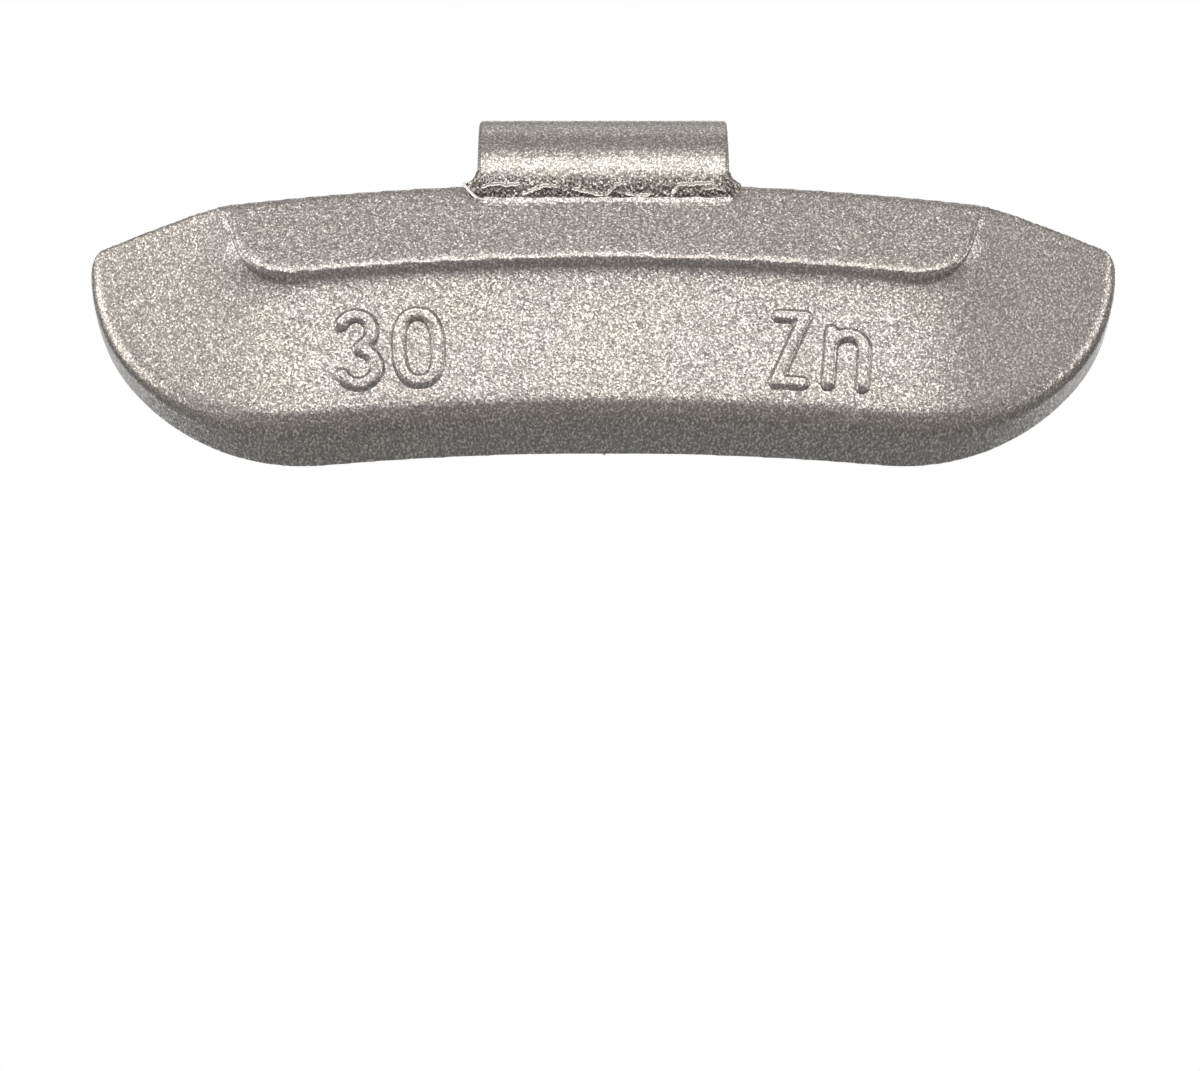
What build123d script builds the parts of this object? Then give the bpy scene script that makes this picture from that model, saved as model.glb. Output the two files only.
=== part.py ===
from build123d import *
import os
from math import asin, cos, degrees, radians, sin, sqrt, tan

# A clip-on wheel balance weight: a die-cast zinc body on a stamped spring-steel clip.
# X runs along the rim, Y from the outer face (-Y) to the wheel (+Y), Z is radially outwards.
# The origin is the axis of the clip's bend, where the rolled edge of the rim flange sits.

# Casting, outline at its back plane, seen along the wheel axis
LENGTH = 59.9
LOBE_SPACING = 35.0
CROWN_HEIGHT = 15.8
CROWN_RADIUS = 180.0
BELLY_RADIUS = 180.0
END_BLEND_ANGLE = 48.0
TIP_STRAIGHT = 0.62
TIP_CORNER_RADIUS = 1.7
WALL_DRAFT = 2.0

# Casting, section
BODY_DEPTH = 7.0
FRONT_ROUND = 1.1
BACK_FLAT_HEIGHT = 7.6
BACK_TURN = 80.7

# The outer face slopes back towards both ends
SLOPE_SPACING = 37.0
SLOPE_ANGLE = 16.5
SLOPE_BLEND_RADIUS = 20.0

# Raised panel over the root of the clip
PANEL_WIDTH = 44.4
PANEL_HEIGHT = 5.85
PANEL_PROUD = 0.7
PANEL_LEAN = 17.5
PANEL_SIDE_SLANT = 17.0
PANEL_CORNER_RADIUS = 3.5
PANEL_LIP_RADIUS = 0.35
PANEL_STEP_DRAFT = 35.0
PANEL_ROOT = 2.5

# Bearing pad on the back
PAD_WIDTH = 22.9
PAD_RADIUS = 4.9
PAD_PROUD = 1.3
PAD_ROOT = 1.9
PAD_AXIS_HEIGHT = 6.35
PAD_FOOT_HEIGHT = 3.2
PAD_FOOT_SLOPE = 50.0
PAD_END_DRAFT = 8.0
PAD_END_ROUND = 0.4

# Clip strip
CLIP_WIDTH = 14.8
CLIP_THICKNESS = 0.8
CLIP_EDGE_ROUND = 0.28
HOOK_RADIUS = 4.4
HOOK_FRONT_ANGLE = 207.0
HOOK_BACK_ANGLE = 44.0
FLAP_RADIUS = 9.0
FLAP_SWEEP = 21.0
FLAP_CORNER_ACROSS = 1.05
FLAP_CORNER_ALONG = 1.6
RELEASE_HOLE_DIAMETER = 3.7
RELEASE_HOLE_ANGLE = 70.0

# Clip tail, cast into the zinc
TAIL_LENGTH = 7.5
ANCHOR_HOLE_DIAMETER = 3.5
ANCHOR_HOLE_SPACING = 7.5
ANCHOR_HOLE_SETBACK = 3.5

# Where the clip leaves the zinc
SEAT_RISE = 0.37
SEAT_DEPTH = 1.7
MOUTH_DROP = 1.3
MOUTH_MARGIN = 0.05
MOUTH_FLARE = 38.0
MOUTH_DEPTH = 3.35
COLLAR_RADIUS = 1.0
COLLAR_FRONT = 4.1
COLLAR_THICKNESS = 0.9

# How far the cutting shapes run past the casting
OVERRUN = 1.0

# Places worked out from the sizes above
CROWN_Z = -SEAT_RISE
LOBE_Z = CROWN_Z - CROWN_HEIGHT
WHEEL_Z = CROWN_Z - CROWN_RADIUS
BACK_Y = SEAT_DEPTH
FRONT_Y = BACK_Y - BODY_DEPTH
STOCK_DEPTH = BODY_DEPTH + PANEL_PROUD + OVERRUN


def wheel_circle_height(radius, across):
    """Height of a point on a circle about the wheel axis, at a distance across from the middle."""
    return WHEEL_Z + sqrt(radius**2 - across**2)


def ring(section):
    """Section drawn in the YZ plane, swept about the wheel axis past both ends of the casting."""
    wheel_axis = Axis((0, 0, WHEEL_Z), (0, 1, 0))
    half_turn = degrees(asin(LENGTH / CROWN_RADIUS))
    swept = revolve(Plane.YZ * section, wheel_axis, 2 * half_turn)
    return swept.rotate(wheel_axis, -half_turn)


def half_outline(crowned):
    """Right half of the outline: belly, lobe and end, all tangent, then the crown or straight sides."""
    half_length = LENGTH / 2
    lobe_x = LOBE_SPACING / 2
    turn = radians(END_BLEND_ANGLE)

    # The tip corner is tangent to the straight tip and to the crown arc about the wheel axis.
    corner_x = half_length - TIP_CORNER_RADIUS
    corner_z = wheel_circle_height(CROWN_RADIUS - TIP_CORNER_RADIUS, corner_x)
    tip_z = corner_z - TIP_STRAIGHT

    # Two tangent arcs run from the lowest point of the lobe up to the tip.
    run = half_length - lobe_x
    rise = tip_z - LOBE_Z
    share = sin(turn) * cos(turn) - (1 - sin(turn)) * (1 - cos(turn))
    lobe_radius = (run * cos(turn) - rise * (1 - sin(turn))) / share
    tip_radius = (rise * sin(turn) - run * (1 - cos(turn))) / share
    lobe_centre = Vector(lobe_x, LOBE_Z + lobe_radius)
    tip_centre = Vector(half_length - tip_radius, tip_z)

    # The hollow belly arc is tangent to the lobe.
    belly_reach = BELLY_RADIUS + lobe_radius
    belly_centre = Vector(0, lobe_centre.Y - sqrt(belly_reach**2 - lobe_x**2))
    belly_half_angle = degrees(asin(lobe_x / belly_reach))
    belly = CenterArc(belly_centre, BELLY_RADIUS, 90, -belly_half_angle)
    lobe = CenterArc(lobe_centre, lobe_radius, 270 - belly_half_angle, belly_half_angle + END_BLEND_ANGLE)
    end = CenterArc(tip_centre, tip_radius, 270 + END_BLEND_ANGLE, 90 - END_BLEND_ANGLE)

    if not crowned:
        over_z = CROWN_Z + OVERRUN
        return Curve() + [belly, lobe, end, Polyline(end @ 1, (half_length, over_z), (0, over_z))]

    crown_half_angle = degrees(asin(corner_x / (CROWN_RADIUS - TIP_CORNER_RADIUS)))
    tip = Line(end @ 1, Vector(half_length, corner_z))
    corner = CenterArc((corner_x, corner_z), TIP_CORNER_RADIUS, 0, 90 - crown_half_angle)
    crown = CenterArc(Vector(0, WHEEL_Z), CROWN_RADIUS, 90 - crown_half_angle, crown_half_angle)
    return Curve() + [belly, lobe, end, tip, corner, crown]


def casting_stock(crowned):
    """Drafted block with the casting's outline, deeper than the finished casting."""
    half = half_outline(crowned)
    face = make_face(half + mirror(half, Plane.YZ))
    return extrude(Plane.XZ.offset(-BACK_Y) * face, STOCK_DEPTH, taper=WALL_DRAFT)


def outer_envelope():
    """All that lies behind the outer face: flat in the middle, sloped back and blended at the ends."""
    bend_x = SLOPE_SPACING / 2
    far_x = LENGTH / 2 + OVERRUN
    far_y = FRONT_Y + (far_x - bend_x) * tan(radians(SLOPE_ANGLE))
    behind = BACK_Y + OVERRUN
    section = make_face(Polyline(
        (-far_x, behind),
        (-far_x, far_y),
        (-bend_x, FRONT_Y),
        (bend_x, FRONT_Y),
        (far_x, far_y),
        (far_x, behind),
        close=True,
    ))
    bends = section.vertices().sort_by(Axis.Y)[:2]
    section = fillet(bends, SLOPE_BLEND_RADIUS)
    return extrude(section, 2 * CROWN_HEIGHT, both=True)


def panel_footprint():
    """Panel outline along the wheel axis: lower arc about the wheel, rounded corners, slanted sides."""
    lower_radius = CROWN_RADIUS - PANEL_HEIGHT
    half_width = PANEL_WIDTH / 2
    slant = tan(radians(PANEL_SIDE_SLANT))
    side_x = half_width - slant * PANEL_HEIGHT
    side_z = wheel_circle_height(lower_radius, side_x)
    lower = ThreePointArc((-side_x, side_z), (0, WHEEL_Z + lower_radius), (side_x, side_z))
    over_z = CROWN_Z + OVERRUN
    over_x = half_width + slant * (over_z - wheel_circle_height(CROWN_RADIUS, half_width))
    sides = Polyline(lower @ 1, (over_x, over_z), (-over_x, over_z), lower @ 0)
    footprint = make_face(Curve() + [lower, sides])
    corners = footprint.vertices().sort_by(Axis.Y)[:2]
    return fillet(corners, PANEL_CORNER_RADIUS)


def panel_envelope():
    """All that lies behind the panel's front, a cone about the wheel that leans back to the crown."""
    foot_z = CROWN_Z - PANEL_HEIGHT
    foot_y = FRONT_Y - PANEL_PROUD
    lean = tan(radians(PANEL_LEAN))
    low_z = foot_z - PANEL_HEIGHT
    high_z = CROWN_Z + OVERRUN
    behind = BACK_Y + OVERRUN
    return ring(make_face(Polyline(
        (behind, low_z),
        (foot_y - lean * (foot_z - low_z), low_z),
        (foot_y + lean * (high_z - foot_z), high_z),
        (behind, high_z),
        close=True,
    )))


def panel_block(footprint):
    """Raised panel with a drafted step and a rounded lip."""
    outer_face = Plane.XZ.offset(-FRONT_Y) * footprint
    block = extrude(outer_face, 2 * PANEL_PROUD + OVERRUN, taper=PANEL_STEP_DRAFT)
    block += extrude(outer_face, -PANEL_ROOT)
    block &= panel_envelope()
    front = block.faces().sort_by(Axis.Y)[0]
    lip = front.edges().sort_by(Axis.Z)[:-1]
    return fillet(lip, PANEL_LIP_RADIUS)


def panel_well(footprint):
    """Room for the panel, cut into the plain outer face."""
    return extrude(Plane.XZ.offset(-FRONT_Y - PANEL_ROOT) * footprint, STOCK_DEPTH)


def back_hollow():
    """Ring-shaped cutter that leaves the convex upper back, concentric with the wheel."""
    flat_z = LOBE_Z + BACK_FLAT_HEIGHT
    back_radius = (CROWN_Z - flat_z) / sin(radians(BACK_TURN))
    behind = BACK_Y + OVERRUN
    round_back = CenterArc((BACK_Y - back_radius, flat_z), back_radius, 0, BACK_TURN)
    edges = Polyline(
        round_back @ 1,
        (round_back @ 1) + Vector(0, OVERRUN),
        (behind, CROWN_Z + OVERRUN),
        (behind, flat_z),
        round_back @ 0,
    )
    return ring(make_face(Curve() + [round_back, edges]))


def bearing_pad():
    """Part-cylinder pad that bears on the flange, with a sloped foot and drafted ends."""
    axis_z = LOBE_Z + PAD_AXIS_HEIGHT
    axis_y = BACK_Y + PAD_PROUD - PAD_RADIUS
    foot_z = LOBE_Z + PAD_FOOT_HEIGHT
    root_y = BACK_Y - PAD_ROOT
    reach_y = BACK_Y + 2 * PAD_PROUD
    barrel = Pos(axis_y, axis_z) * Circle(PAD_RADIUS)
    trim = make_face(Polyline(
        (root_y, foot_z),
        (BACK_Y, foot_z),
        (reach_y, foot_z + (reach_y - BACK_Y) / tan(radians(PAD_FOOT_SLOPE))),
        (reach_y, axis_z + PAD_RADIUS),
        (root_y, axis_z + PAD_RADIUS),
        close=True,
    ))
    bar = extrude(Plane.YZ * (barrel & trim), PAD_WIDTH, both=True)
    base = Plane(origin=(0, root_y, axis_z), x_dir=(-1, 0, 0), z_dir=(0, 1, 0))
    root_width = PAD_WIDTH + 2 * PAD_ROOT * tan(radians(PAD_END_DRAFT))
    sleeve = extrude(base * Rectangle(root_width, 4 * PAD_RADIUS), reach_y - root_y, taper=PAD_END_DRAFT)
    pad = bar & sleeve
    return fillet(pad.edges().filter_by(GeomType.LINE, reverse=True), PAD_END_ROUND)


def strip_side(offset):
    """One side of the strip's section, from the free edge of the flap to the end of the tail."""
    middle = HOOK_RADIUS - CLIP_THICKNESS / 2
    back = Vector(cos(radians(HOOK_BACK_ANGLE)), sin(radians(HOOK_BACK_ANGLE)))
    front = Vector(cos(radians(HOOK_FRONT_ANGLE)), sin(radians(HOOK_FRONT_ANGLE)))
    onward = Vector(-front.Y, front.X)
    flap_centre = back * (middle - FLAP_RADIUS)
    flap = CenterArc(flap_centre, FLAP_RADIUS + offset, HOOK_BACK_ANGLE - FLAP_SWEEP, FLAP_SWEEP)
    hook = CenterArc((0, 0), middle + offset, HOOK_BACK_ANGLE, HOOK_FRONT_ANGLE - HOOK_BACK_ANGLE)
    tail = Line(hook @ 1, (hook @ 1) + onward * TAIL_LENGTH)
    return [flap, hook, tail]


def rim_clip():
    """Spring-steel strip: hook, flap with clipped corners and release hole, and anchored tail."""
    outer = strip_side(CLIP_THICKNESS / 2)
    inner = strip_side(-CLIP_THICKNESS / 2)
    free_edge = Line(outer[0] @ 0, inner[0] @ 0)
    tail_end = Line(outer[-1] @ 1, inner[-1] @ 1)
    section = make_face(Curve() + outer + inner + [free_edge, tail_end])
    clip = extrude(Plane.YZ * section, CLIP_WIDTH / 2, both=True)

    corner = free_edge @ 0.5
    for side in (-CLIP_WIDTH / 2, CLIP_WIDTH / 2):
        edge = clip.edges().sort_by_distance((side, corner.X, corner.Y))[0]
        end_face = clip.faces().sort_by_distance((0, corner.X, corner.Y))[0]
        clip = chamfer(edge, FLAP_CORNER_ACROSS, FLAP_CORNER_ALONG, reference=end_face)
    side_edges = clip.faces().filter_by(Axis.X).edges()
    clip = fillet(side_edges.filter_by(lambda edge: edge.length > CLIP_THICKNESS * 2), CLIP_EDGE_ROUND)

    hole_way = (0, cos(radians(RELEASE_HOLE_ANGLE)), sin(radians(RELEASE_HOLE_ANGLE)))
    hole = Plane(origin=(0, 0, 0), z_dir=hole_way) * Circle(RELEASE_HOLE_DIAMETER / 2)
    clip -= extrude(hole, 2 * HOOK_RADIUS)

    tail_way = (outer[-1] % 0).normalized()
    anchor = (tail_end @ 0.5) - tail_way * ANCHOR_HOLE_SETBACK
    across_tail = (0, tail_way.Y, -tail_way.X)
    for side in (-ANCHOR_HOLE_SPACING / 2, ANCHOR_HOLE_SPACING / 2):
        place = Plane(origin=(side, anchor.X, anchor.Y), z_dir=across_tail)
        clip -= extrude(place * Circle(ANCHOR_HOLE_DIAMETER / 2), 2 * CLIP_THICKNESS, both=True)
    return clip


def clip_mouth():
    """Flared cut in front of the strip, where the lower lip of the zinc stands away from it."""
    foot_z = CROWN_Z - MOUTH_DROP
    half = CLIP_WIDTH / 2 + MOUTH_MARGIN
    over_z = CROWN_Z + OVERRUN
    over_half = half + (over_z - foot_z) * tan(radians(MOUTH_FLARE))
    shape = make_face(Polyline(
        (-half, foot_z),
        (half, foot_z),
        (over_half, over_z),
        (-over_half, over_z),
        close=True,
    ))
    return extrude(Plane.XZ.offset(MOUTH_DEPTH) * shape, STOCK_DEPTH)


def clip_collars():
    """Small hollow fillets of zinc that run up both sides of the strip behind the mouth."""
    side_x = CLIP_WIDTH / 2
    top_z = CROWN_Z + COLLAR_RADIUS / 2
    block = Rectangle(COLLAR_RADIUS, 2 * COLLAR_RADIUS)
    block = Pos(side_x + COLLAR_RADIUS / 2, top_z - COLLAR_RADIUS) * block
    block -= Pos(side_x + COLLAR_RADIUS, top_z) * Circle(COLLAR_RADIUS)
    right = extrude(Plane.XZ.offset(COLLAR_FRONT) * block, -COLLAR_THICKNESS)
    return right + mirror(right, Plane.YZ)


def weight_body(clip):
    """Zinc casting around the tail of the clip."""
    blank = casting_stock(crowned=True) - back_hollow()
    footprint = panel_footprint()
    body = casting_stock(crowned=False) & outer_envelope()
    least_outward = cos(radians(2 * SLOPE_ANGLE))
    outer_faces = body.faces().filter_by(lambda face: -face.normal_at().Y > least_outward)
    rim = outer_faces.edges().filter_by(GeomType.LINE, reverse=True)
    body = fillet(rim.filter_by(lambda edge: edge.center().Z < CROWN_Z), FRONT_ROUND)
    body &= blank
    body -= panel_well(footprint)
    body += panel_block(footprint) & blank
    body += bearing_pad()
    body -= clip_mouth()
    body += clip_collars()
    return body - clip


os.makedirs("parts", exist_ok=True)
steel = rim_clip()
zinc = weight_body(steel)
export_step(steel, "parts/rim_clip.step")
export_step(zinc, "parts/weight_body.step")
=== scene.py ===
"""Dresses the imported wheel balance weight: coat, cast marks and casting traces, in a plain studio."""

import logging
import math
from dataclasses import dataclass
from enum import Enum
from typing import Protocol

import bpy
import numpy as np
from numpy.typing import NDArray
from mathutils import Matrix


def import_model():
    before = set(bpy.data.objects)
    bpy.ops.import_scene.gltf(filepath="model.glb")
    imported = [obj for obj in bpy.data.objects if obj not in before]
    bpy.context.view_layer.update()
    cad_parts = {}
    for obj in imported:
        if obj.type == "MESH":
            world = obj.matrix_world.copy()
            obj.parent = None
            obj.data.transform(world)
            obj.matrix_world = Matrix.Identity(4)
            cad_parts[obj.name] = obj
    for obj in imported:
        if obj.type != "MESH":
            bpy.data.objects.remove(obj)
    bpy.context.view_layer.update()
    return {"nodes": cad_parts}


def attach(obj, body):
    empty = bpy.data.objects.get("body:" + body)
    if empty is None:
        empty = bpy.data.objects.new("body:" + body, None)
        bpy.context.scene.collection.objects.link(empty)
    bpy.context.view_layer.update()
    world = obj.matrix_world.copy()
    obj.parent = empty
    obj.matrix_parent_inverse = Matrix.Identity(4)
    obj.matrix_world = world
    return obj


Array = NDArray[np.float64]
Shell = tuple[Array, list[list[int]]]
Stroke = tuple[Array, bool]
Point = tuple[float, float]
Colour = tuple[float, float, float]
Socket = bpy.types.NodeSocket
Inputs = dict[str | int, float | tuple[float, ...] | Socket]

MM = 0.001
ROOT_BODY = "root"

log = logging.getLogger("balance_weight")


class Slot(Enum):
    """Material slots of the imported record."""

    ZINC = "coated_zinc"
    STEEL = "coated_steel"


class Way(Enum):
    """Directions in which a skin is smoothed: whether along X, Y and Z."""

    ALL = (True, True, True)
    DEPTH = (False, True, False)
    ACROSS = (True, False, False)


def put_mesh(name: str, points: Array, faces: list[list[int]]) -> bpy.types.Object:
    """Makes a smooth-shaded mesh object at the origin.

    Args:
        name: Name of the piece.
        points: Vertices in metres, shape (n, 3).
        faces: Vertex numbers of each face.

    Returns:
        The linked object.
    """
    mesh = bpy.data.meshes.new(name)
    mesh.from_pydata(points.tolist(), [], faces)
    mesh.shade_smooth()
    mesh.update()
    piece = bpy.data.objects.new(name, mesh)
    bpy.context.scene.collection.objects.link(piece)
    return piece


def finish_piece(name: str, shell: Shell, coat: bpy.types.Material) -> bpy.types.Object:
    """Makes a piece of the weight from a shell, coats it and lets it ride on the weight.

    Args:
        name: Name of the piece.
        shell: Its vertices and faces.
        coat: Its material.

    Returns:
        The piece.
    """
    piece = put_mesh(name, *shell)
    piece.data.materials.append(coat)
    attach(piece, ROOT_BODY)
    log.info("%s: %d faces", name, len(piece.data.polygons))
    return piece


def coat_node(node: bpy.types.Object, coat: bpy.types.Material) -> None:
    """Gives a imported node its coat.

    Args:
        node: The node.
        coat: Its material.
    """
    node.data.materials.clear()
    node.data.materials.append(coat)
    log.info("%s: coated", node.name)


def ring_faces(rings: int, points: int, closed: bool) -> list[list[int]]:
    """Faces of a tube of closed rings, with a pole at each end unless the tube closes on itself.

    Args:
        rings: Number of rings along the tube.
        points: Points round each ring.
        closed: Whether the last ring joins the first.

    Returns:
        Quads between the rings, then the triangles at the two poles.
    """
    around = np.arange(points)
    a, b = np.meshgrid(np.arange(rings if closed else rings - 1), around, indexing="ij")
    own, after = a * points, (a + 1) % rings * points
    beside = (b + 1) % points
    quads = np.stack([own + b, after + b, after + beside, own + beside], -1)
    faces = quads.reshape(-1, 4).tolist()
    if closed:
        return faces
    first, last = rings * points, rings * points + 1
    ahead = (around + 1) % points
    end_ring = (rings - 1) * points
    start = np.stack([np.full(points, first), around, ahead], -1)
    end = np.stack([np.full(points, last), end_ring + ahead, end_ring + around], -1)
    return faces + start.tolist() + end.tolist()


def tube(rings: Array, closed: bool = False) -> Shell:
    """Shell over a row of closed rings.

    Args:
        rings: Points, shape (rings, points, 3).
        closed: Whether the last ring joins the first.

    Returns:
        Vertices, with a pole in the middle of each end ring of an open row, and faces.
    """
    vertices = rings.reshape(-1, 3)
    if not closed:
        vertices = np.concatenate([vertices, rings[:1].mean(1), rings[-1:].mean(1)])
    return vertices, ring_faces(rings.shape[0], rings.shape[1], closed)


def joined(shells: list[Shell]) -> Shell:
    """Several closed shells as one.

    Args:
        shells: Vertices and faces of each.

    Returns:
        All vertices, and the faces with their numbers moved on.
    """
    starts = np.cumsum([0] + [len(points) for points, _ in shells]).tolist()
    faces = [[v + start for v in face] for (_, own), start in zip(shells, starts) for face in own]
    return np.concatenate([points for points, _ in shells]), faces


def unit(vectors: Array) -> Array:
    """Vectors scaled to length one, along the last axis."""
    return vectors / np.linalg.norm(vectors, axis=-1, keepdims=True)


def run_along(path: Array) -> Array:
    """Length along a path up to each of its points."""
    return np.concatenate([[0.0], np.cumsum(np.linalg.norm(np.diff(path, axis=0), axis=1))])


def eased(distance: Array, length: float) -> Array:
    """Smooth step 3s^2 - 2s^3, where s is the distance's share of the length, held within 0 and 1."""
    share = np.clip(distance / length, 0.0, 1.0)
    return share ** 2 * (3 - 2 * share)


def line(start: Point, end: Point, count: int = 24) -> Array:
    """Straight path between two points, shape (count, 2)."""
    share = np.linspace(0.0, 1.0, count)[:, None]
    return np.array(start) * (1 - share) + np.array(end) * share


def arc(centre: Point, radii: Point, span: Point, count: int = 48) -> Array:
    """Elliptic arc over a span of angles in degrees, shape (count, 2)."""
    angle = np.radians(np.linspace(*span, count))
    return np.array(centre) + np.array(radii) * np.stack([np.cos(angle), np.sin(angle)], -1)


def through(corners: Array, share: Array) -> Array:
    """Path in straight pieces through corners, shape (n, 2); the share counts the corners passed."""
    return np.stack([np.interp(share, np.arange(len(corners)), axis) for axis in corners.T], -1)


def ripple(places: Array, lengths: tuple[float, ...], seed: int) -> Array:
    """Smooth unevenness of about -1 to 1, a sum of four sines of each wave length in seeded directions.

    Args:
        places: Points, shape (..., k).
        lengths: Wave lengths, in the points' unit.
        seed: Picks directions and phases.

    Returns:
        One value for each point.
    """
    pick = np.random.default_rng(seed)
    waves = np.repeat(np.array(lengths), 4)
    ways = unit(pick.normal(size=(len(waves), places.shape[-1]))) / waves[:, None]
    phases = pick.uniform(0.0, 2 * np.pi, len(waves))
    return np.sin(places @ ways.T * 2 * np.pi + phases).sum(-1) / math.sqrt(2 * len(waves))


class Carrier(Protocol):
    """A surface that carries ridges: two coordinates give a point and the outward normal."""

    def place(self, path: Array) -> tuple[Array, Array]:
        """Places a path on the surface.

        Args:
            path: The surface's coordinates, shape (n, 2).

        Returns:
            Points and outward normals, both of shape (n, 3).
        """


@dataclass(frozen=True)
class OuterFace:
    """The flat middle of the casting's outer face: coordinates are across and up.

    Attributes:
        y: Its depth.
    """

    y: float

    def place(self, path: Array) -> tuple[Array, Array]:
        """Points on the plane at depth y, with normals towards the viewer.

        Args:
            path: Across and up, shape (n, 2).

        Returns:
            Points and normals, both of shape (n, 3).
        """
        points = np.stack([path[:, 0], np.full(len(path), self.y), path[:, 1]], -1)
        return points, np.tile([0.0, -1.0, 0.0], (len(path), 1))


@dataclass(frozen=True)
class SlopedFace:
    """The casting's whole outer face, flat in the middle and sloped back at the ends.

    Coordinates are across and up.

    Attributes:
        y: Depth of the flat middle.
        flat: Half width of the flat.
        blend: Radius of the blend into the slopes.
        slope: Angle of the slopes, in degrees.
    """

    y: float
    flat: float = 15.6 * MM
    blend: float = 20.0 * MM
    slope: float = 16.5

    def place(self, path: Array) -> tuple[Array, Array]:
        """Points on the face: past the flat a circle of the blend's radius, then a straight slope.

        Args:
            path: Across and up, shape (n, 2).

        Returns:
            Points and normals, both of shape (n, 3).
        """
        x, z = path.T
        out = np.maximum(np.abs(x) - self.flat, 0.0)
        steepest = math.radians(self.slope)
        turn = np.arcsin(np.minimum(out / self.blend, math.sin(steepest)))
        past = out - self.blend * np.sin(turn)
        depth = self.y + self.blend * (1 - np.cos(turn)) + past * math.tan(steepest)
        normals = np.stack([np.sign(x) * np.sin(turn), -np.cos(turn), np.zeros(len(path))], -1)
        return np.stack([x, depth, z], -1), normals


@dataclass(frozen=True)
class LeaningFace:
    """The raised panel's front, which leans back: coordinates are across and up.

    Attributes:
        foot: A point (y, z) of the face.
        lean: How far it leans back, in degrees.
    """

    foot: Point = (-6.0 * MM, -6.22 * MM)
    lean: float = 17.5

    def place(self, path: Array) -> tuple[Array, Array]:
        """Points on the leaning plane, with its normal.

        Args:
            path: Across and up, shape (n, 2).

        Returns:
            Points and normals, both of shape (n, 3).
        """
        turn = math.radians(self.lean)
        depth = self.foot[0] + (path[:, 1] - self.foot[1]) * math.tan(turn)
        points = np.stack([path[:, 0], depth, path[:, 1]], -1)
        return points, np.tile([0.0, -math.cos(turn), math.sin(turn)], (len(path), 1))


@dataclass(frozen=True)
class HookFace:
    """The outside of the clip's bend, a cylinder about X: coordinates are across and the angle above -Y.

    Attributes:
        radius: Its radius.
    """

    radius: float

    def place(self, path: Array) -> tuple[Array, Array]:
        """Points on the cylinder, with radial normals.

        Args:
            path: Across, and the angle in radians, shape (n, 2).

        Returns:
            Points and normals, both of shape (n, 3).
        """
        angle = path[:, 1]
        normals = np.stack([np.zeros(len(path)), -np.cos(angle), np.sin(angle)], -1)
        points = normals * self.radius
        points[:, 0] = path[:, 0]
        return points, normals


@dataclass(frozen=True)
class BackSection:
    """The middle of the casting's back: coordinates are across and the length down from the crown.

    Attributes:
        dome: Centre (y, z) of the convex upper back.
        dome_radius: Its radius.
        dome_span: Its first and last angle, in degrees.
        pad: Centre (y, z) of the bearing pad.
        pad_radius: Its radius.
        pad_span: Its first and last angle, in degrees.
        foot: Corner (y, z) where the pad's foot leaves the pad.
        flat: Corner (y, z) where the foot meets the flat.
        low_z: Lower end of the flat.
    """

    dome: Point = (-6.609 * MM, -8.57 * MM)
    dome_radius: float = 8.309 * MM
    dome_span: Point = (62.0, 17.0)
    pad: Point = (-1.9 * MM, -9.82 * MM)
    pad_radius: float = 4.9 * MM
    pad_span: Point = (48.7, -34.7)
    foot: Point = (2.13 * MM, -12.61 * MM)
    flat: Point = (1.70 * MM, -12.97 * MM)
    low_z: float = -15.3 * MM

    def chain(self) -> Array:
        """The section's outline: the dome's arc, the pad's arc, the foot and the flat.

        Returns:
            Points in y and z, shape (n, 2).
        """
        dome = arc(self.dome, (self.dome_radius, self.dome_radius), self.dome_span, 60)
        pad = arc(self.pad, (self.pad_radius, self.pad_radius), self.pad_span, 80)
        foot = line(self.foot, self.flat, 8)
        flat = line(self.flat, (self.flat[0], self.low_z), 20)
        return np.concatenate([dome, pad[1:], foot[1:], flat[1:]])

    def place(self, path: Array) -> tuple[Array, Array]:
        """Points at their length along the chain, with normals square to it and away from the casting.

        Args:
            path: Across, and the length down, shape (n, 2).

        Returns:
            Points and normals, both of shape (n, 3).
        """
        chain = self.chain()
        run = run_along(chain)
        slope = np.gradient(chain, run, axis=0)
        y, z, y_slope, z_slope = (np.interp(path[:, 1], run, v) for v in (*chain.T, *slope.T))
        normals = unit(np.stack([np.zeros(len(path)), -z_slope, y_slope], -1))
        return np.stack([path[:, 0], y, z], -1), normals


@dataclass(frozen=True)
class StraightEdge:
    """A straight edge along X: coordinates are across and the height above it, seen along its normal.

    Attributes:
        y: Depth of the edge.
        z: Height of the edge.
        lean: How far its normal points above +Y, in degrees.
    """

    y: float
    z: float
    lean: float

    def place(self, path: Array) -> tuple[Array, Array]:
        """Points on the edge, moved square to the normal by their height.

        Args:
            path: Across and height, shape (n, 2).

        Returns:
            Points and normals, both of shape (n, 3).
        """
        turn = math.radians(self.lean)
        side = np.array([0.0, -math.sin(turn), math.cos(turn)])
        points = np.stack([path[:, 0], np.full(len(path), self.y), np.full(len(path), self.z)], -1)
        normals = np.tile([0.0, math.cos(turn), math.sin(turn)], (len(path), 1))
        return points + path[:, 1:] * side, normals


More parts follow.
